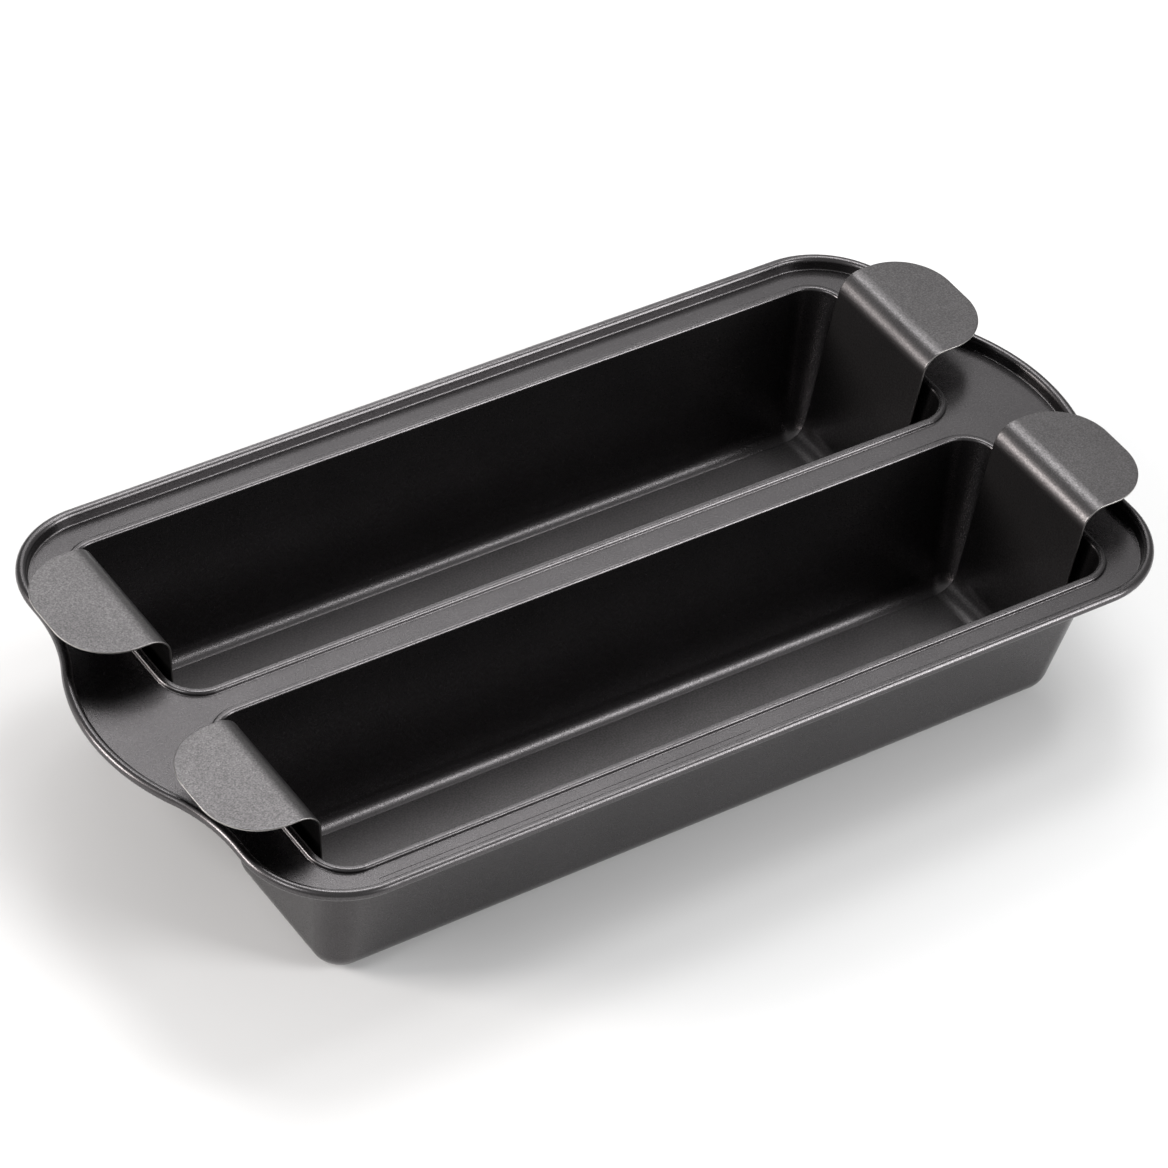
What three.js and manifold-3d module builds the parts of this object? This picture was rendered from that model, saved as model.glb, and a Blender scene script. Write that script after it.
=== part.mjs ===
// A two-channel lift-out loaf and baguette pan, in millimetres, +Z up.
// The pan stands on its two well floors at Z = 0, with its middle over the origin.
// X runs along the channels, Y across them, and each channel holds a loose lift-out insert.
import * as THREE from 'three';
import { mergeVertices } from 'three/addons/utils/BufferGeometryUtils.js';
import Module from 'manifold-3d';

// Heights
const panSheet = 0.8;
const wellDepth = 60.8;
const lipTop = panSheet + wellDepth;
const flangeTop = lipTop - 1.5;
const rimTop = lipTop + 3.2;

// Channel lip: the raised bead round the mouth of each well, sized over its outer edge
const lipHalfLength = 160;
const lipHalfWidth = 42.3;
const lipCornerRadius = 14.5;
const lipWidth = 2.7;
const beadBend = 0.55;
const beadFall = 1.1;
const channelCentre = 46.45;

// Well walls lean in by this much per millimetre of depth
const wallDraft = 0.163;
const endDraftRelief = 0.008;
const cornerRadiusGain = 0.118;
const floorFillet = 9.2;

// Rim outline, over the outside of the curl
const rimHalfWidth = 101.8;
const rimEnd = 180.4;
const rimCornerRadius = 34.5;
const lobeApex = 195.3;
const lobeRadius = 77;
const lobeFillet = 62;

// Rolled rim and the wire inside it
const curlRadius = 1.9;
const curlOpenAngle = 110;
const wireRadius = 0.75;
const rimStepRun = 0.3;
const rimStepBend = 0.45;
const flangeCollar = 8.5;
const lipCollar = 2;
const lap = 1;

// Lift-out inserts
const insertSheet = 0.8;
const insertHalfWidth = 25.6;
const insertFloorTop = 2.85;
const insertWallX = 153.2;
const insertLean = 0.108;
const insertFloorBend = 8.4;
const insertTabBend = 8.1;
const tabTop = lipTop + 14.1;
const tabEnd = 186.8;
const tabCornerRadius = 20.2;

// How finely arcs are divided
const cornerSteps = 6;
const bendSteps = 6;
const lobeSteps = 7;
const wireSides = 8;

const degrees = Math.PI / 180;
const wasm = await Module();
wasm.setup();

function toSolid(geometry) {
  const bare = geometry.clone();
  bare.deleteAttribute('normal');
  bare.deleteAttribute('uv');
  const merged = mergeVertices(bare, 1e-5);
  return new wasm.Manifold(new wasm.Mesh({
    numProp: 3,
    vertProperties: new Float32Array(merged.attributes.position.array),
    triVerts: new Uint32Array(merged.index.array),
  }));
}

function toGeometry(solid) {
  const mesh = solid.getMesh();
  const geometry = new THREE.BufferGeometry();
  geometry.setAttribute('position', new THREE.BufferAttribute(mesh.vertProperties, 3));
  geometry.setIndex(new THREE.BufferAttribute(mesh.triVerts, 1));
  geometry.computeVertexNormals();
  return geometry;
}

// Points of an arc about (x, y), from one angle to another in degrees.
function arc(x, y, radius, from, to, steps) {
  const curve = new THREE.EllipseCurve(x, y, radius, radius, from * degrees, to * degrees, to < from);
  return curve.getPoints(steps);
}

// The closed outline of a thin sheet whose middle line is given.
function thicken(line, thickness) {
  const left = [];
  const right = [];
  line.forEach((point, i) => {
    const before = line[Math.max(i - 1, 0)];
    const after = line[Math.min(i + 1, line.length - 1)];
    const a = point.clone().sub(before).normalize();
    const b = after.clone().sub(point).normalize();
    const along = a.clone().add(b).normalize();
    const miter = thickness / 2 / Math.sqrt((1 + (i > 0 && i < line.length - 1 ? a.dot(b) : 1)) / 2);
    const normal = new THREE.Vector2(-along.y, along.x).multiplyScalar(miter);
    left.push(point.clone().add(normal));
    right.push(point.clone().sub(normal));
  });
  return left.concat(right.reverse());
}

// Joins rings of equal length into a skin. The rings close into a loop, or end in flat caps.
function loft(rings, looped) {
  const count = rings[0].length;
  const positions = rings.flat().flatMap((p) => [p.x, p.y, p.z]);
  const triangles = [];
  const spans = looped ? rings.length : rings.length - 1;
  for (let i = 0; i < spans; i += 1) {
    const low = i * count;
    const high = ((i + 1) % rings.length) * count;
    for (let j = 0; j < count; j += 1) {
      const k = (j + 1) % count;
      triangles.push(low + j, low + k, high + k, low + j, high + k, high + j);
    }
  }
  if (!looped) {
    const last = (rings.length - 1) * count;
    for (let j = 1; j < count - 1; j += 1) {
      triangles.push(0, j + 1, j);
      triangles.push(last, last + j, last + j + 1);
    }
  }
  const geometry = new THREE.BufferGeometry();
  geometry.setAttribute('position', new THREE.Float32BufferAttribute(positions, 3));
  geometry.setIndex(triangles);
  return geometry;
}

// A rounded rectangle as one ring, anticlockwise from above.
function roundedRectangle(halfLength, halfWidth, radius, centreY, z) {
  const x = halfLength - radius;
  const y = halfWidth - radius;
  const corners = [[x, y, 0], [-x, y, 90], [-x, -y, 180], [x, -y, 270]];
  return corners.flatMap(([cx, cy, start]) => arc(cx, cy + centreY, radius, start, start + 90, cornerSteps))
    .map((p) => new THREE.Vector3(p.x, p.y, z));
}

// The ring of a channel's outline, inset from the outer edge of its lip, at a height.
function channelRing(inset, z, centreY) {
  const depth = lipTop - z;
  return roundedRectangle(
    lipHalfLength - inset + endDraftRelief * depth,
    lipHalfWidth - inset,
    lipCornerRadius - inset + cornerRadiusGain * depth,
    centreY,
    z,
  );
}

// The rim's outline with its end lobes, inset from the outside of the curl, anticlockwise from above.
function rimOutline(inset) {
  const lobeX = lobeApex - lobeRadius;
  const filletX = rimEnd + lobeFillet;
  const filletY = Math.sqrt((lobeRadius + lobeFillet) ** 2 - (filletX - lobeX) ** 2);
  const turn = Math.atan2(filletY, filletX - lobeX) / degrees;
  const cornerX = rimEnd - rimCornerRadius;
  const cornerY = rimHalfWidth - rimCornerRadius;
  const quarter = [
    ...arc(lobeX, 0, lobeRadius - inset, 0, turn, lobeSteps).slice(1),
    ...arc(filletX, filletY, lobeFillet + inset, 180 + turn, 180, lobeSteps - 2).slice(1),
    ...arc(cornerX, cornerY, rimCornerRadius - inset, 0, 90, cornerSteps + 2),
  ];
  const back = quarter.slice().reverse();
  const apex = new THREE.Vector2(lobeApex - inset, 0);
  return [
    apex,
    ...quarter,
    ...back.map((p) => new THREE.Vector2(-p.x, p.y)),
    new THREE.Vector2(-apex.x, 0),
    ...quarter.map((p) => new THREE.Vector2(-p.x, -p.y)),
    ...back.map((p) => new THREE.Vector2(p.x, -p.y)),
  ];
}

function rimRing(inset, z) {
  return rimOutline(inset).map((p) => new THREE.Vector3(p.x, p.y, z));
}

// Middle line of the sheet across a channel: flange collar, lip bead, wall, fillet and floor.
function channelLine() {
  const half = panSheet / 2;
  const collarZ = flangeTop - half;
  const beadZ = lipTop - half;
  const wallInset = (z) => lipWidth + half + wallDraft * (lipTop - z);
  const slope = Math.hypot(1, wallDraft);
  const filletZ = half + floorFillet;
  const filletInset = wallInset(filletZ) - 2 * half * slope + floorFillet * slope;
  const wallAngle = 180 + Math.atan(wallDraft) / degrees;
  return [
    new THREE.Vector2(-lipCollar, collarZ),
    new THREE.Vector2(0, collarZ),
    new THREE.Vector2(half, collarZ + beadBend),
    new THREE.Vector2(half, beadZ - beadBend),
    new THREE.Vector2(half + beadBend, beadZ),
    new THREE.Vector2(lipWidth - half - beadBend, beadZ),
    new THREE.Vector2(lipWidth - half + wallDraft, beadZ - beadFall),
    ...arc(filletInset, filletZ, floorFillet, wallAngle, 270, bendSteps),
  ];
}

function well(centreY) {
  const section = thicken(channelLine(), panSheet);
  const rings = section.map((p) => channelRing(p.x, p.y, centreY));
  const middle = section.length / 2;
  const ordered = [...rings.slice(middle), ...rings.slice(0, middle)];
  return toSolid(loft(ordered, false));
}

// Middle line of the sheet across the rim: flange, inner step and open curl.
function rimLine() {
  const half = panSheet / 2;
  const curlZ = rimTop - curlRadius;
  const flangeZ = flangeTop - half;
  const foot = 2 * curlRadius - half;
  return [
    new THREE.Vector2(flangeCollar, flangeZ),
    new THREE.Vector2(foot + rimStepRun + rimStepBend, flangeZ),
    new THREE.Vector2(foot + rimStepRun / 2, flangeZ + rimStepBend),
    ...arc(curlRadius, curlZ, curlRadius - half, 0, 180 + curlOpenAngle, 2 * bendSteps),
  ];
}

function rim() {
  const section = thicken(rimLine(), panSheet);
  return toSolid(loft(section.map((p) => rimRing(p.x, p.y)), true));
}

// The flat flange between the rim and the two channel lips.
function flangePlate() {
  const shape = new THREE.Shape(rimOutline(flangeCollar - lap));
  for (const side of [-1, 1]) {
    const mouth = channelRing(-lap, lipTop, side * channelCentre);
    shape.holes.push(new THREE.Path(mouth.map((p) => new THREE.Vector2(p.x, p.y))));
  }
  const plate = new THREE.ExtrudeGeometry(shape, { depth: panSheet, bevelEnabled: false });
  plate.translate(0, 0, flangeTop - panSheet);
  return toSolid(plate);
}

function panBody() {
  const pan = flangePlate().add(rim()).add(well(channelCentre)).add(well(-channelCentre));
  return toGeometry(pan);
}

function rimWire() {
  const circle = arc(curlRadius, rimTop - curlRadius, wireRadius, 360, 0, wireSides).slice(0, wireSides);
  return loft(circle.map((p) => rimRing(p.x, p.y)), true);
}

// Middle line of an insert seen from the side: tab, end wall, floor, end wall and tab.
function insertLine() {
  const half = insertSheet / 2;
  const floorZ = insertFloorTop - half;
  const tabZ = tabTop - half;
  const leanAngle = Math.atan(insertLean) / degrees;
  const slope = Math.hypot(1, insertLean);
  const wallX = (z) => insertWallX + insertLean * (z - lipTop);
  const lowZ = floorZ + insertFloorBend;
  const highZ = tabZ - insertTabBend;
  const lowX = wallX(lowZ) - insertFloorBend * slope;
  const highX = wallX(highZ) + insertTabBend * slope;
  const right = [
    ...arc(lowX, lowZ, insertFloorBend, -90, -leanAngle, bendSteps),
    ...arc(highX, highZ, insertTabBend, 180 - leanAngle, 90, bendSteps),
    new THREE.Vector2(tabEnd + lap, tabZ),
  ];
  const left = right.slice().reverse().map((p) => new THREE.Vector2(-p.x, p.y));
  return left.concat(right);
}

function liftOutInsert(centreY) {
  const side = new THREE.Shape(thicken(insertLine(), insertSheet));
  const bent = new THREE.ExtrudeGeometry(side, { depth: 2 * (insertHalfWidth + lap), bevelEnabled: false });
  bent.rotateX(Math.PI / 2);
  bent.translate(0, insertHalfWidth + lap, 0);
  const tabs = roundedRectangle(tabEnd, insertHalfWidth, tabCornerRadius, 0, 0);
  const outline = new THREE.Shape(tabs.map((p) => new THREE.Vector2(p.x, p.y)));
  const plan = new THREE.ExtrudeGeometry(outline, { depth: tabTop + lap, bevelEnabled: false });
  const blank = toSolid(bent).intersect(toSolid(plan));
  const geometry = toGeometry(blank);
  geometry.translate(0, centreY, 0);
  return geometry;
}

const coatedSteel = { color: 0x4a484a, roughness: 0.42, metalness: 0.55 };
const bareSteel = { color: 0x9a9a98, roughness: 0.35, metalness: 0.9 };

function piece(name, geometry, finish) {
  const mesh = new THREE.Mesh(geometry, new THREE.MeshStandardMaterial(finish));
  mesh.name = name;
  return mesh;
}

const pan = new THREE.Group();
pan.add(piece('pan_body', panBody(), coatedSteel));
pan.add(piece('rim_wire', rimWire(), bareSteel));
pan.add(piece('back_insert', liftOutInsert(channelCentre), coatedSteel));
pan.add(piece('front_insert', liftOutInsert(-channelCentre), coatedSteel));

export default pan;
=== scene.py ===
import math

import bmesh
import bpy
from mathutils import Matrix, Vector
from mathutils.geometry import tessellate_polygon


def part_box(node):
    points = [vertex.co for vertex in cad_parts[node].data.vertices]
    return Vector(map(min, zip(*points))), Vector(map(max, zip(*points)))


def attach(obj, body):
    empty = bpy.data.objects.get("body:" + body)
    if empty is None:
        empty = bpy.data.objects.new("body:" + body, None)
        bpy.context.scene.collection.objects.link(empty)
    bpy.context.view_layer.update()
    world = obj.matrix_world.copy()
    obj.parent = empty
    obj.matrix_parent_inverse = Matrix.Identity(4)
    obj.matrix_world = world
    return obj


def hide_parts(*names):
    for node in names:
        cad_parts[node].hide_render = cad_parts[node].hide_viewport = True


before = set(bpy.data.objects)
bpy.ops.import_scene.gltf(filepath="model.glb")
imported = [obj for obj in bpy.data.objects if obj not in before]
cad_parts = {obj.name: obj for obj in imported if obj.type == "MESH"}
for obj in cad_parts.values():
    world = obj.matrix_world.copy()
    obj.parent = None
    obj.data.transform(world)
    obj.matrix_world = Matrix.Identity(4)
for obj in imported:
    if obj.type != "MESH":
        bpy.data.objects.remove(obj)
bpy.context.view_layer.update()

# The looks of a two-channel lift-out loaf and baguette pan. Lengths are in millimetres until a
# mesh is made, X runs along the channels and Y across them.
MM = 0.001

# Sizes that the frame gives
pan_low, pan_high = (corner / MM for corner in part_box("pan_body"))
insert_low, insert_high = (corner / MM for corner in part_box("back_insert"))
wire_low, wire_high = (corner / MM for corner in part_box("rim_wire"))
RIM_TOP = pan_high.z
LOBE_APEX = pan_high.x
RIM_HALF_WIDTH = pan_high.y
CHANNEL_CENTRE = (insert_low.y + insert_high.y) / 2
INSERT_HALF_WIDTH = (insert_high.y - insert_low.y) / 2
INSERT_UNDERSIDE = insert_low.z
TAB_TOP = insert_high.z
TAB_END = insert_high.x
WIRE_RADIUS = (wire_high.z - wire_low.z) / 2

# Sheet and heights
SHEET = 0.8
HALF = SHEET / 2
LIP_BELOW_RIM = 3.2
LIP_HEIGHT = 1.5
LIP_TOP = RIM_TOP - LIP_BELOW_RIM
FLANGE_TOP = LIP_TOP - LIP_HEIGHT

# Channels, sized over the outer edge of the lip
LIP_HALF_LENGTH = 160
LIP_HALF_WIDTH = 42.3
LIP_CORNER_RADIUS = 14.5
LIP_WIDTH = 2.7
LIP_COLLAR = 2
LIP_BEND = 0.72
WALL_DRAFT = 0.163
END_DRAFT_RELIEF = 0.008
CORNER_RADIUS_GAIN = 0.118
FLOOR_FILLET = 9.2
# How far in from the wall's foot the flat of a well floor starts. The fillet ends 7.8 in, and the
# outline's corner radius reaches zero at 9.4.
FLOOR_START = 8.5

# Rim
LOBE_BOW = 14.9
RIM_END = LOBE_APEX - LOBE_BOW
RIM_CORNER_RADIUS = 34.5
LOBE_RADIUS = 77
LOBE_FILLET = 62
CURL_RADIUS = 1.9
CURL_OPEN_ANGLE = 110
RIM_STEP_RUN = 0.3
RIM_FOOT_BEND = 0.8
FLANGE_COLLAR = 8.5

# Lift-out inserts
INSERT_WALL_X = 153.2
INSERT_LEAN = 0.108
INSERT_FLOOR_BEND = 8.4
INSERT_TAB_BEND = 8.1
TAB_CORNER_RADIUS = 20.2
EDGE_ROUND = 0.28
FLAT_COLUMNS = (-0.75, -0.5, -0.25, 0, 0.25, 0.5, 0.75)

# How finely curves are divided, and how close a guard line lies to each bend
CORNER_STEPS = 26
LOBE_STEPS = 22
BEND_STEPS = 9
CURL_STEPS = 34
SHEET_EDGE_STEPS = 6
INSERT_EDGE_STEPS = 4
WIRE_SIDES = 16
GUARD = 0.4
CORNER_GUARD = 1.5


# ---------------------------------------------------------------- outlines and sections

def arc(cx, cy, radius, start, end, steps):
    """Points of an arc, with angles in degrees."""
    angles = [math.radians(start + (end - start) * i / steps) for i in range(steps + 1)]
    return [Vector((cx + radius * math.cos(a), cy + radius * math.sin(a))) for a in angles]


def route(corners):
    """A line through (x, z, bend radius) corners, as (point, left-hand normal) pairs.

    Each bend is a tangent arc, and each straight run has a guard point near both ends.
    """
    places = [Vector(corner[:2]) for corner in corners]
    pairs = [(places[0], turned(places[1] - places[0]))]
    for i in range(1, len(corners) - 1):
        before = (places[i] - places[i - 1]).normalized()
        after = (places[i + 1] - places[i]).normalized()
        angle = math.atan2(before.x * after.y - before.y * after.x, before.dot(after))
        radius = corners[i][2]
        side = math.copysign(1, angle)
        reach = radius * math.tan(abs(angle) / 2)
        centre = places[i] - before * reach + turned(before) * radius * side
        guard_run(pairs, places[i] - before * reach, turned(before))
        for k in range(BEND_STEPS + 1):
            normal = turned(before)
            normal.rotate(Matrix.Rotation(angle * k / BEND_STEPS, 2))
            pairs.append((centre - normal * radius * side, normal))
    guard_run(pairs, places[-1], turned(places[-1] - places[-2]))
    pairs.append((places[-1], turned(places[-1] - places[-2])))
    return pairs


def turned(direction):
    """The unit vector a quarter turn to the left of a direction."""
    return Vector((-direction.y, direction.x)).normalized()


def guard_run(pairs, end, normal):
    """Adds a guard point near each end of the straight run from the last point to end."""
    start = pairs[-1][0]
    run = end - start
    if run.length > 3 * GUARD:
        step = run.normalized() * GUARD
        pairs.append((start + step, normal))
        pairs.append((end - step, normal))


def offset(pairs, distance):
    """The points of a line moved along their normals."""
    return [point + normal * distance for point, normal in pairs]


def channel_section():
    """Middle line of the sheet from the flange over the lip, down the wall and on to the floor."""
    collar_z = FLANGE_TOP - HALF
    lip_z = LIP_TOP - HALF
    wall_inset = LIP_WIDTH - HALF * math.hypot(1, WALL_DRAFT)
    floor_inset = wall_inset + WALL_DRAFT * (LIP_TOP - HALF)
    bend = LIP_BEND
    return route([
        (-LIP_COLLAR, collar_z, 0),
        (HALF, collar_z, bend),
        (HALF, lip_z, bend),
        (wall_inset + WALL_DRAFT * HALF, lip_z, bend),
        (floor_inset, HALF, FLOOR_FILLET),
        (floor_inset + FLOOR_START, HALF, 0),
    ])


def rim_section():
    """Middle line of the sheet from the flange up the inner step and round the open curl."""
    curl_z = RIM_TOP - CURL_RADIUS
    flange_z = FLANGE_TOP - HALF
    curl_line = CURL_RADIUS - HALF
    inner = CURL_RADIUS + curl_line
    pairs = route([
        (FLANGE_COLLAR, flange_z, 0),
        (inner + RIM_STEP_RUN, flange_z, RIM_FOOT_BEND),
        (inner, curl_z, 0),
    ])
    centre = Vector((CURL_RADIUS, curl_z))
    curl = arc(centre.x, centre.y, curl_line, 0, 180 + CURL_OPEN_ANGLE, CURL_STEPS)
    pairs += [(point, (centre - point).normalized()) for point in curl[1:]]
    return pairs


def edge_cap(pairs):
    """Points round the half-round sheet edge at the end of a line, from its right to its left."""
    point, normal = pairs[-1]
    along = Vector((normal.y, -normal.x))
    angles = [math.pi * k / SHEET_EDGE_STEPS for k in range(1, SHEET_EDGE_STEPS)]
    return [point + (-normal * math.cos(a) + along * math.sin(a)) * HALF for a in angles]


def guarded(corner_runs):
    """Joins corner arcs into a closed outline with a guard point on each side of every corner."""
    points = []
    for i, run in enumerate(corner_runs):
        following = corner_runs[(i + 1) % len(corner_runs)][0]
        points += run
        straight = following - run[-1]
        step = straight.normalized() * min(CORNER_GUARD, straight.length / 3)
        points += [run[-1] + step, following - step]
    return points


def channel_outline(inset, z, centre_y):
    """A closed outline round a channel, inset from its lip's outer edge, at a height."""
    depth = LIP_TOP - z
    half_length = LIP_HALF_LENGTH - inset + END_DRAFT_RELIEF * depth
    half_width = LIP_HALF_WIDTH - inset
    radius = LIP_CORNER_RADIUS - inset + CORNER_RADIUS_GAIN * depth
    x = half_length - radius
    y = half_width - radius
    runs = [
        arc(cx, centre_y + cy, radius, start, start + 90, CORNER_STEPS)
        for cx, cy, start in ((x, y, 0), (-x, y, 90), (-x, -y, 180), (x, -y, 270))
    ]
    return [Vector((p.x, p.y, z)) for p in guarded(runs)]


def mirrored(points, x_sign, y_sign):
    """The points with flipped signs, in the order that keeps them running anticlockwise."""
    flipped = [Vector((x_sign * p.x, y_sign * p.y)) for p in points]
    return flipped if x_sign == y_sign else flipped[::-1]


def rim_outline(inset, z):
    """The pan's closed outline, inset from the rim's outer edge, at a height."""
    lobe_x = LOBE_APEX - LOBE_RADIUS
    fillet_x = RIM_END + LOBE_FILLET
    fillet_y = math.sqrt((LOBE_RADIUS + LOBE_FILLET) ** 2 - (fillet_x - lobe_x) ** 2)
    turn = math.degrees(math.atan2(fillet_y, fillet_x - lobe_x))
    corner_x = RIM_END - RIM_CORNER_RADIUS
    corner_y = RIM_HALF_WIDTH - RIM_CORNER_RADIUS
    half_lobe = arc(lobe_x, 0, LOBE_RADIUS - inset, 0, turn, LOBE_STEPS)
    fillet = arc(fillet_x, fillet_y, LOBE_FILLET + inset, 180 + turn, 180, LOBE_STEPS)
    corner = arc(corner_x, corner_y, RIM_CORNER_RADIUS - inset, 0, 90, CORNER_STEPS)
    half_end = half_lobe + fillet[1:]
    right_end = mirrored(half_end[1:], 1, -1) + half_end
    runs = [
        right_end,
        corner,
        mirrored(corner, -1, 1),
        mirrored(right_end, -1, -1),
        mirrored(corner, -1, -1),
        mirrored(corner, 1, -1),
    ]
    return [Vector((p.x, p.y, z)) for p in guarded(runs)]


# ---------------------------------------------------------------- meshes

class Skin:
    """Collects points and faces in millimetres and makes one closed, smooth-shaded mesh of them."""

    def __init__(self):
        self.points = []
        self.faces = []
        self.painted_highlight = []

    def ring(self, points, painted_highlight=None):
        """Adds points, with how strongly the painted edge highlight lightens the coating at each,
        from 0 to 1.
        """
        start = len(self.points)
        self.points += points
        self.painted_highlight += painted_highlight or [0] * len(points)
        return list(range(start, len(self.points)))

    def bridge(self, ring_a, ring_b):
        """Joins two closed rings of equal length."""
        count = len(ring_a)
        for i in range(count):
            j = (i + 1) % count
            self.faces.append((ring_a[i], ring_a[j], ring_b[j], ring_b[i]))

    def chain(self, rings):
        """Joins each ring to the next."""
        for ring_a, ring_b in zip(rings, rings[1:]):
            self.bridge(ring_a, ring_b)

    def fill(self, *loops):
        """Fills a flat outline, the first loop, around the other loops."""
        indices = [i for loop in loops for i in loop]
        places = [[self.points[i] for i in loop] for loop in loops]
        for triangle in tessellate_polygon(places):
            self.faces.append(tuple(indices[i] for i in triangle))

    def build(self, name):
        """Makes the object, and shades it smooth but for its triangles."""
        mesh = bpy.data.meshes.new(name)
        mesh.from_pydata([p * MM for p in self.points], [], self.faces)
        # Each point's share of the painted edge highlight is stored on the mesh for the coating to
        # read.
        mesh.attributes.new("painted_highlight", "FLOAT", "POINT").data.foreach_set("value", self.painted_highlight)
        shape = bmesh.new()
        shape.from_mesh(mesh)
        bmesh.ops.recalc_face_normals(shape, faces=shape.faces)
        shape.to_mesh(mesh)
        shape.free()
        # Only the flat fills are made of triangles, and smoothing over their slivers draws lines.
        for face in mesh.polygons:
            face.use_smooth = len(face.vertices) != 3
        piece = bpy.data.objects.new(name, mesh)
        bpy.context.scene.collection.objects.link(piece)
        return piece


def pan_shell():
    """The pressed pan as one sheet: rim curl, flange, two lips and two wells."""
    skin = Skin()
    line = rim_section()
    top = offset(line, -HALF)
    under = offset(line, HALF)
    around = top + edge_cap(line) + under[::-1]
    rim = [skin.ring(rim_outline(p.x, p.y)) for p in around]
    skin.chain(rim)
    upper_mouths = []
    lower_mouths = []
    for centre_y in (-CHANNEL_CENTRE, CHANNEL_CENTRE):
        section = channel_section()
        upper = [skin.ring(channel_outline(p.x, p.y, centre_y)) for p in offset(section, HALF)]
        lower = [skin.ring(channel_outline(p.x, p.y, centre_y)) for p in offset(section, -HALF)]
        skin.chain(upper)
        skin.chain(lower)
        skin.faces += [tuple(upper[-1]), tuple(lower[-1])]
        upper_mouths.append(upper[0])
        lower_mouths.append(lower[0])
    skin.fill(rim[0], *upper_mouths)
    skin.fill(rim[-1], *lower_mouths)
    return skin.build("pan_shell")


def curl_wire():
    """The round wire inside the rolled rim."""
    skin = Skin()
    circle = arc(CURL_RADIUS, RIM_TOP - CURL_RADIUS, WIRE_RADIUS, 0, 360, WIRE_SIDES)[:-1]
    rings = [skin.ring(rim_outline(p.x, p.y)) for p in circle]
    skin.chain(rings + rings[:1])
    return skin.build("curl_wire")


def insert_section():
    """Middle line of an insert from the side: tab, end wall, floor, end wall and tab."""
    tab_z = TAB_TOP - HALF
    floor_z = INSERT_UNDERSIDE + HALF
    arc_start = TAB_END - TAB_CORNER_RADIUS
    top_x = INSERT_WALL_X + INSERT_LEAN * (tab_z - LIP_TOP)
    low_x = INSERT_WALL_X + INSERT_LEAN * (floor_z - LIP_TOP)
    return route([
        (-arc_start, tab_z, 0),
        (-top_x, tab_z, INSERT_TAB_BEND),
        (-low_x, floor_z, INSERT_FLOOR_BEND),
        (low_x, floor_z, INSERT_FLOOR_BEND),
        (top_x, tab_z, INSERT_TAB_BEND),
        (arc_start, tab_z, 0),
    ])


def insert_stations():
    """(middle point, normal, half width, plan direction of the side edge) along an insert."""
    strip = [(p, n, INSERT_HALF_WIDTH, Vector((0, 1))) for p, n in insert_section()]
    tab_z = TAB_TOP - HALF
    radius = TAB_CORNER_RADIUS
    tip = []
    for k in range(1, CORNER_STEPS + 1):
        angle = math.radians(90 - 90 * k / CORNER_STEPS)
        outward = Vector((math.cos(angle), math.sin(angle)))
        x = TAB_END - radius + radius * outward.x
        width = INSERT_HALF_WIDTH - radius + radius * outward.y
        tip.append((x, width, outward))
    up = Vector((0, 1))
    right = [(Vector((x, tab_z)), up, width, outward) for x, width, outward in tip]
    left = [(Vector((-x, tab_z)), up, width, Vector((-o.x, o.y))) for x, width, o in reversed(tip)]
    return left + strip + right


def edge_rows():
    """The (angle, side) of each row of points down a rounded sheet edge, with side 1 above."""
    quarter = [90 * k / INSERT_EDGE_STEPS for k in range(INSERT_EDGE_STEPS)]
    return [(angle, 1) for angle in reversed(quarter)] + [(-angle, -1) for angle in quarter]


TOP_ROW = (90, 1)
EDGE_ROWS = edge_rows()
UNDER_ROW = (-90, -1)
# How strongly each row round a sheet edge gets the painted highlight: most at the edge's middle,
# none on the faces.
EDGE_PAINTED_HIGHLIGHT = [math.cos(math.radians(angle)) ** 2 for angle, side in EDGE_ROWS]


def insert_place(station, across, row, centre_y):
    """A point on an insert's skin. across goes from -1 to 1, and row is an (angle, side)."""
    middle, normal, half_width, outward = station
    angle, side = row
    pull = EDGE_ROUND * (1 - math.cos(math.radians(angle)))
    height = side * (HALF - EDGE_ROUND) + EDGE_ROUND * math.sin(math.radians(angle))
    edge_y = half_width - pull * outward.y
    x = middle.x - pull * outward.x + normal.x * height
    z = middle.y + normal.y * height
    return Vector((x, centre_y + across * edge_y, z))


def lift_out_insert(name, centre_y):
    """A bent strip with rounded tabs and softly rounded sheet edges."""
    skin = Skin()
    stations = insert_stations()
    inner = 1 - GUARD / INSERT_HALF_WIDTH
    columns = [-1, -inner, *FLAT_COLUMNS, inner, 1]
    # The flat faces of the sheet get no painted highlight.
    face_painted_highlight = [0] * len(columns)
    rings = []
    for station in stations:
        top = [insert_place(station, c, TOP_ROW, centre_y) for c in columns]
        right = [insert_place(station, 1, row, centre_y) for row in EDGE_ROWS]
        below = [insert_place(station, c, UNDER_ROW, centre_y) for c in reversed(columns)]
        left = [insert_place(station, -1, row, centre_y) for row in reversed(EDGE_ROWS)]
        rings.append(skin.ring(top + right + below + left, (face_painted_highlight + EDGE_PAINTED_HIGHLIGHT) * 2))
    skin.chain(rings)
    for ring, station in ((rings[0], stations[0]), (rings[-1], stations[-1])):
        close_tip(skin, ring, station, columns, centre_y)
    return skin.build(name)


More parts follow.
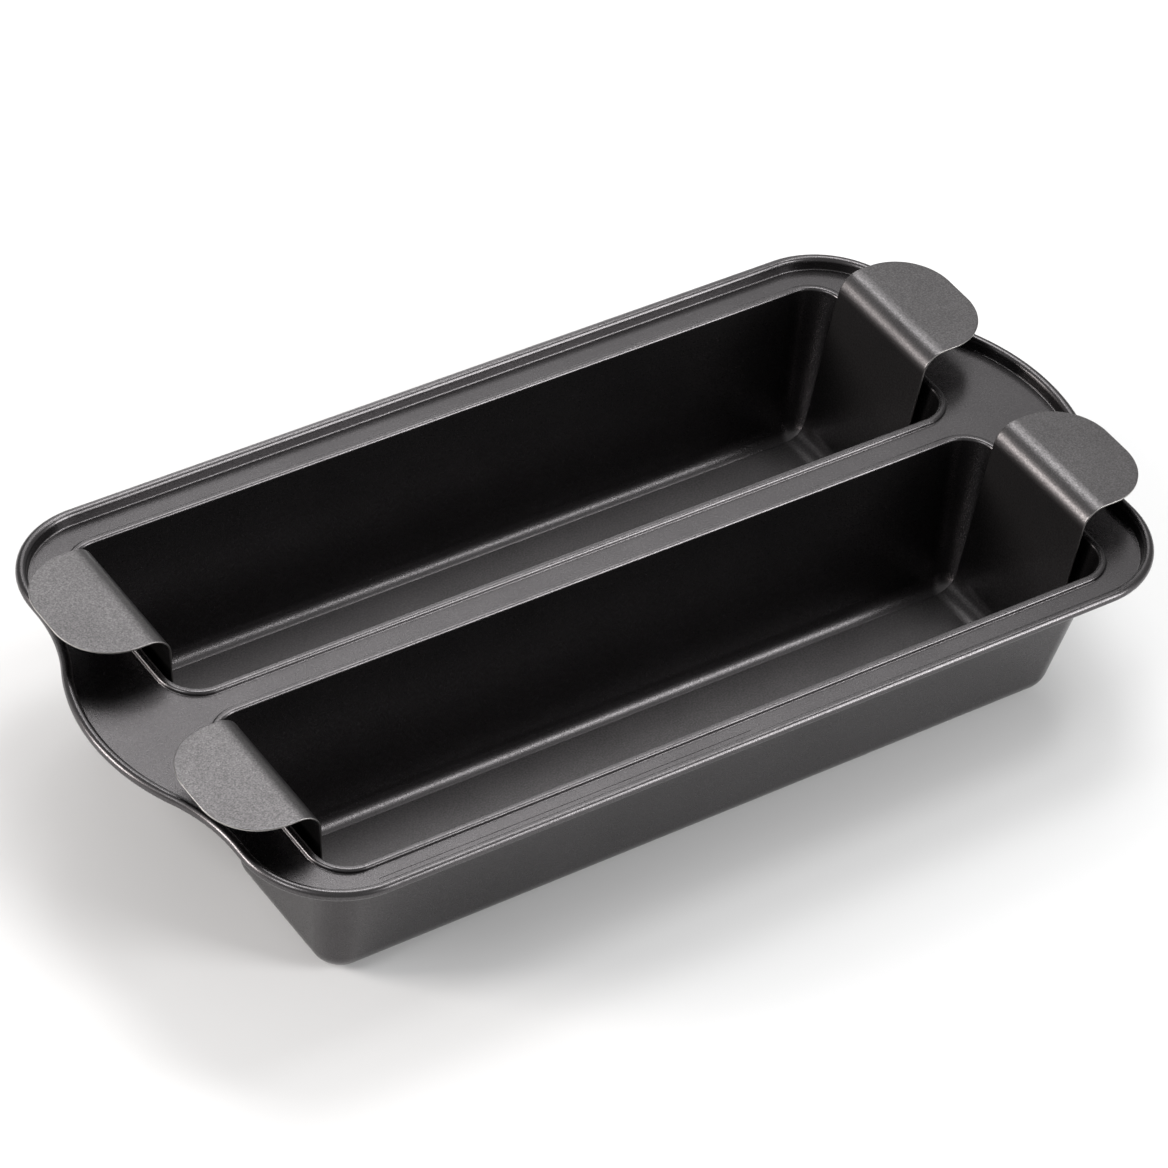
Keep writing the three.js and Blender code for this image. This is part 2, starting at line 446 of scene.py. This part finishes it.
def close_tip(skin, ring, station, columns, centre_y):
    """Rounds the short straight edge at the end of a tab."""
    count = len(columns)
    turns = len(EDGE_ROWS)
    right = ring[count:count + turns]
    left = ring[2 * count + turns:][::-1]
    rows = [ring[:count]]
    for k, row in enumerate(EDGE_ROWS):
        middle = [insert_place(station, c, row, centre_y) for c in columns[1:-1]]
        rows.append([left[k], *skin.ring(middle, [EDGE_PAINTED_HIGHLIGHT[k]] * len(middle)), right[k]])
    rows.append(ring[count + turns:2 * count + turns][::-1])
    for row_a, row_b in zip(rows, rows[1:]):
        for i in range(count - 1):
            skin.faces.append((row_a[i], row_a[i + 1], row_b[i + 1], row_b[i]))


# ---------------------------------------------------------------- materials

# The lighter colour painted on the inserts' rounded sheet edges as a highlight.
PAINTED_HIGHLIGHT_COLOUR = (0.34, 0.33, 0.32)
CLOUD_SCALE = 38
FLAKE_SHARE = 0.8
GLOSS_SPREAD = 0.05
GRAIN_DEPTH = 0.0001
WIRE_STREAK_SCALE = 900
FLOOR_GREY = 0.76


def put(material, socket, value):
    """Sets a node's input to a value, or links it to another node's output."""
    if isinstance(value, bpy.types.NodeSocket):
        material.node_tree.links.new(value, socket)
    else:
        socket.default_value = value


def linked(material, kind, **inputs):
    """Adds a node with input values or links. Spaces in input names are written as underscores."""
    node = material.node_tree.nodes.new(kind)
    for key, value in inputs.items():
        put(material, node.inputs[key.replace("_", " ")], value)
    return node


def ramp(material, factor, stops):
    """A colour ramp of (position, grey or colour) stops."""
    node = linked(material, "ShaderNodeValToRGB", Fac=factor)
    elements = node.color_ramp.elements
    while len(elements) < len(stops):
        elements.new(0.5)
    for element, (position, value) in zip(elements, stops):
        element.position = position
        shade = value if isinstance(value, tuple) else (value, value, value)
        element.color = (*shade, 1)
    return node.outputs["Color"]


def colour_mix(material, blend, factor, colour_a, colour_b):
    """Blends two colours, each a value or a link. A mix node's colours are inputs 6 and 7."""
    node = material.node_tree.nodes.new("ShaderNodeMix")
    node.data_type = "RGBA"
    node.blend_type = blend
    put(material, node.inputs["Factor"], factor)
    put(material, node.inputs[6], colour_a)
    put(material, node.inputs[7], colour_b)
    return node.outputs[2]


def between(dark, light, share):
    return tuple(a + (b - a) * share for a, b in zip(dark, light))


def new_metal(name):
    """A metallic material, its shader and the place on the object that its textures use."""
    material = bpy.data.materials.new(name)
    material.use_nodes = True
    shader = material.node_tree.nodes["Principled BSDF"]
    shader.inputs["Metallic"].default_value = 1
    place = linked(material, "ShaderNodeTexCoord").outputs["Object"]
    return material, shader, place


def coating(name, dark, light, roughness, grain_scale):
    """A dark non-stick coating with a fine metallic grain, lightened towards a painted highlight
    colour where the mesh marks a sheet edge.
    """
    material, shader, place = new_metal(name)
    grain = linked(
        material, "ShaderNodeTexNoise",
        Vector=place, Scale=grain_scale, Detail=3, Roughness=0.6,
    ).outputs["Fac"]
    clouds = linked(
        material, "ShaderNodeTexNoise",
        Vector=place, Scale=CLOUD_SCALE, Detail=3, Roughness=0.5,
    ).outputs["Fac"]
    flakes = linked(
        material, "ShaderNodeTexVoronoi",
        Vector=place, Scale=grain_scale * FLAKE_SHARE,
    ).outputs["Distance"]

    speck = ramp(material, grain, [(0.3, dark), (0.52, between(dark, light, 0.45)), (0.72, light)])
    broad = ramp(material, clouds, [(0.3, 0.92), (0.7, 1.06)])
    tint = colour_mix(material, "MULTIPLY", 1, speck, broad)
    # Sheet edges are lightened towards the painted highlight colour, by the share stored on the
    # mesh.
    painted_highlight = material.node_tree.nodes.new("ShaderNodeAttribute")
    painted_highlight.attribute_name = "painted_highlight"
    colour = colour_mix(material, "MIX", painted_highlight.outputs["Fac"], tint, (*PAINTED_HIGHLIGHT_COLOUR, 1))
    put(material, shader.inputs["Base Color"], colour)

    shine = linked(
        material, "ShaderNodeMapRange", Value=grain, From_Min=0.3, From_Max=0.7,
        To_Min=roughness + GLOSS_SPREAD, To_Max=roughness - GLOSS_SPREAD,
    )
    put(material, shader.inputs["Roughness"], shine.outputs["Result"])

    height = material.node_tree.nodes.new("ShaderNodeMath")
    height.operation = "ADD"
    put(material, height.inputs[0], grain)
    put(material, height.inputs[1], flakes)
    bump = linked(
        material, "ShaderNodeBump",
        Strength=0.015, Distance=GRAIN_DEPTH, Height=height.outputs["Value"],
    )
    put(material, shader.inputs["Normal"], bump.outputs["Normal"])
    shader.inputs["Coat Weight"].default_value = 0.12
    shader.inputs["Coat Roughness"].default_value = 0.22
    return material


def drawn_wire():
    """Bright drawn steel with a faint uneven grain."""
    material, shader, place = new_metal("wire_steel")
    streak = linked(
        material, "ShaderNodeTexNoise",
        Vector=place, Scale=WIRE_STREAK_SCALE, Detail=2,
    ).outputs["Fac"]
    tone = ramp(material, streak, [(0.35, (0.4, 0.4, 0.39)), (0.65, (0.58, 0.58, 0.57))])
    put(material, shader.inputs["Base Color"], tone)
    shine = linked(
        material, "ShaderNodeMapRange", Value=streak,
        From_Min=0.3, From_Max=0.7, To_Min=0.25, To_Max=0.42,
    )
    put(material, shader.inputs["Roughness"], shine.outputs["Result"])
    bump = linked(material, "ShaderNodeBump", Strength=0.1, Distance=GRAIN_DEPTH, Height=streak)
    put(material, shader.inputs["Normal"], bump.outputs["Normal"])
    return material


def pale_floor():
    """The matt, nearly white floor that the object stands on."""
    material = bpy.data.materials.new("pale_floor")
    material.use_nodes = True
    shader = material.node_tree.nodes["Principled BSDF"]
    shader.inputs["Base Color"].default_value = (FLOOR_GREY, FLOOR_GREY, FLOOR_GREY, 1)
    shader.inputs["Roughness"].default_value = 0.8
    shader.inputs["Specular IOR Level"].default_value = 0.1
    return material


# ---------------------------------------------------------------- studio

# Angles are in degrees, and studio lengths in metres
CAMERA_AZIMUTH = -38.764
CAMERA_ELEVATION = 41.41
CAMERA_ROLL = 7.358
CAMERA_DISTANCE = 1.9504
CAMERA_LENS = 177.9
CAMERA_SENSOR = 36
CAMERA_SHIFT = (-0.0081, -0.0216)
FLOOR_HALF = 3
FLOOR_GAP = 0.0005
ROOM_BRIGHTNESS = 0.4
LIGHT_DISTANCE = 1.5


def aim(azimuth, elevation):
    """The unit vector from the object towards a direction, azimuth 0 being -Y and 90 +X."""
    a = math.radians(azimuth)
    e = math.radians(elevation)
    return Vector((math.sin(a) * math.cos(e), -math.cos(a) * math.cos(e), math.sin(e)))


def add_camera():
    """The camera at the photograph's viewing angle, looking at the middle of the lips' tops."""
    lens = bpy.data.cameras.new("camera")
    lens.lens = CAMERA_LENS
    lens.sensor_width = CAMERA_SENSOR
    lens.shift_x, lens.shift_y = CAMERA_SHIFT
    camera = bpy.data.objects.new("camera", lens)
    bpy.context.scene.collection.objects.link(camera)
    back = aim(CAMERA_AZIMUTH, CAMERA_ELEVATION)
    right = Vector((0, 0, 1)).cross(back).normalized()
    up = back.cross(right)
    level = Matrix((right, up, back)).transposed()
    roll = Matrix.Rotation(math.radians(CAMERA_ROLL), 3, "Z")
    place = back * CAMERA_DISTANCE + Vector((0, 0, LIP_TOP * MM))
    camera.matrix_world = Matrix.Translation(place) @ (level @ roll).to_4x4()
    bpy.context.scene.camera = camera


def softbox(name, azimuth, elevation, width, height, radiance, colour=(1, 1, 1)):
    """A rectangular soft light in a direction from the object, facing it."""
    place = aim(azimuth, elevation) * LIGHT_DISTANCE
    lamp = bpy.data.lights.new(name, "AREA")
    lamp.shape = "RECTANGLE"
    lamp.size = width
    lamp.size_y = height
    lamp.energy = radiance * math.pi * width * height
    lamp.color = colour
    light = bpy.data.objects.new(name, lamp)
    bpy.context.scene.collection.objects.link(light)
    light.location = place
    light.rotation_mode = "QUATERNION"
    light.rotation_quaternion = place.to_track_quat("Z", "Y")


def add_floor():
    """A square floor just under the object."""
    mesh = bpy.data.meshes.new("floor")
    corners = [(x * FLOOR_HALF, y * FLOOR_HALF, 0) for x, y in ((-1, -1), (1, -1), (1, 1), (-1, 1))]
    mesh.from_pydata(corners, [], [(0, 1, 2, 3)])
    mesh.materials.append(pale_floor())
    floor = bpy.data.objects.new("floor", mesh)
    bpy.context.scene.collection.objects.link(floor)
    floor.location.z = -FLOOR_GAP


def add_room():
    """Even white light from all round, and the softboxes."""
    world = bpy.data.worlds.new("studio")
    world.use_nodes = True
    world.node_tree.nodes["Background"].inputs["Color"].default_value = (1, 1, 1, 1)
    world.node_tree.nodes["Background"].inputs["Strength"].default_value = ROOM_BRIGHTNESS
    bpy.context.scene.world = world
    softbox("rear_top_softbox", 140, 66, 0.55, 0.5, 8.7)
    softbox("rear_softbox", 151, 44, 0.95, 0.5, 1.15)
    softbox("low_rear_softbox", 155, 20, 0.5, 0.45, 3)
    softbox("left_softbox", -80, 44, 0.45, 0.5, 7.5)
    softbox("low_left_softbox", -115, 20, 0.5, 0.45, 21.5, (1, 0.95, 0.92))
    softbox("right_softbox", 33, 36, 0.5, 0.28, 13)
    softbox("low_right_softbox", 35, 18, 0.5, 0.4, 14)
    softbox("right_top_softbox", 84, 62, 0.3, 0.25, 12)
    softbox("tab_softbox", 172, 54, 0.3, 0.22, 9)
    bpy.context.scene.view_settings.view_transform = "Standard"


# ---------------------------------------------------------------- the model

def finished(piece, body, node, material):
    """Puts a piece in place of its CAD node, on its body."""
    piece.data.materials.append(material)
    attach(piece, body)
    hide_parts(node)


pan_coating = coating("pan_coating", (0.066, 0.062, 0.064), (0.112, 0.107, 0.109), 0.29, 2300)
insert_coating = coating("insert_coating", (0.062, 0.059, 0.06), (0.156, 0.149, 0.151), 0.37, 1700)
finished(pan_shell(), "pan", "pan_body", pan_coating)
finished(curl_wire(), "pan", "rim_wire", drawn_wire())
finished(
    lift_out_insert("back_lift_out_tray", CHANNEL_CENTRE),
    "back_lift_out", "back_insert", insert_coating,
)
finished(
    lift_out_insert("front_lift_out_tray", -CHANNEL_CENTRE),
    "front_lift_out", "front_insert", insert_coating,
)
add_camera()
add_floor()
add_room()
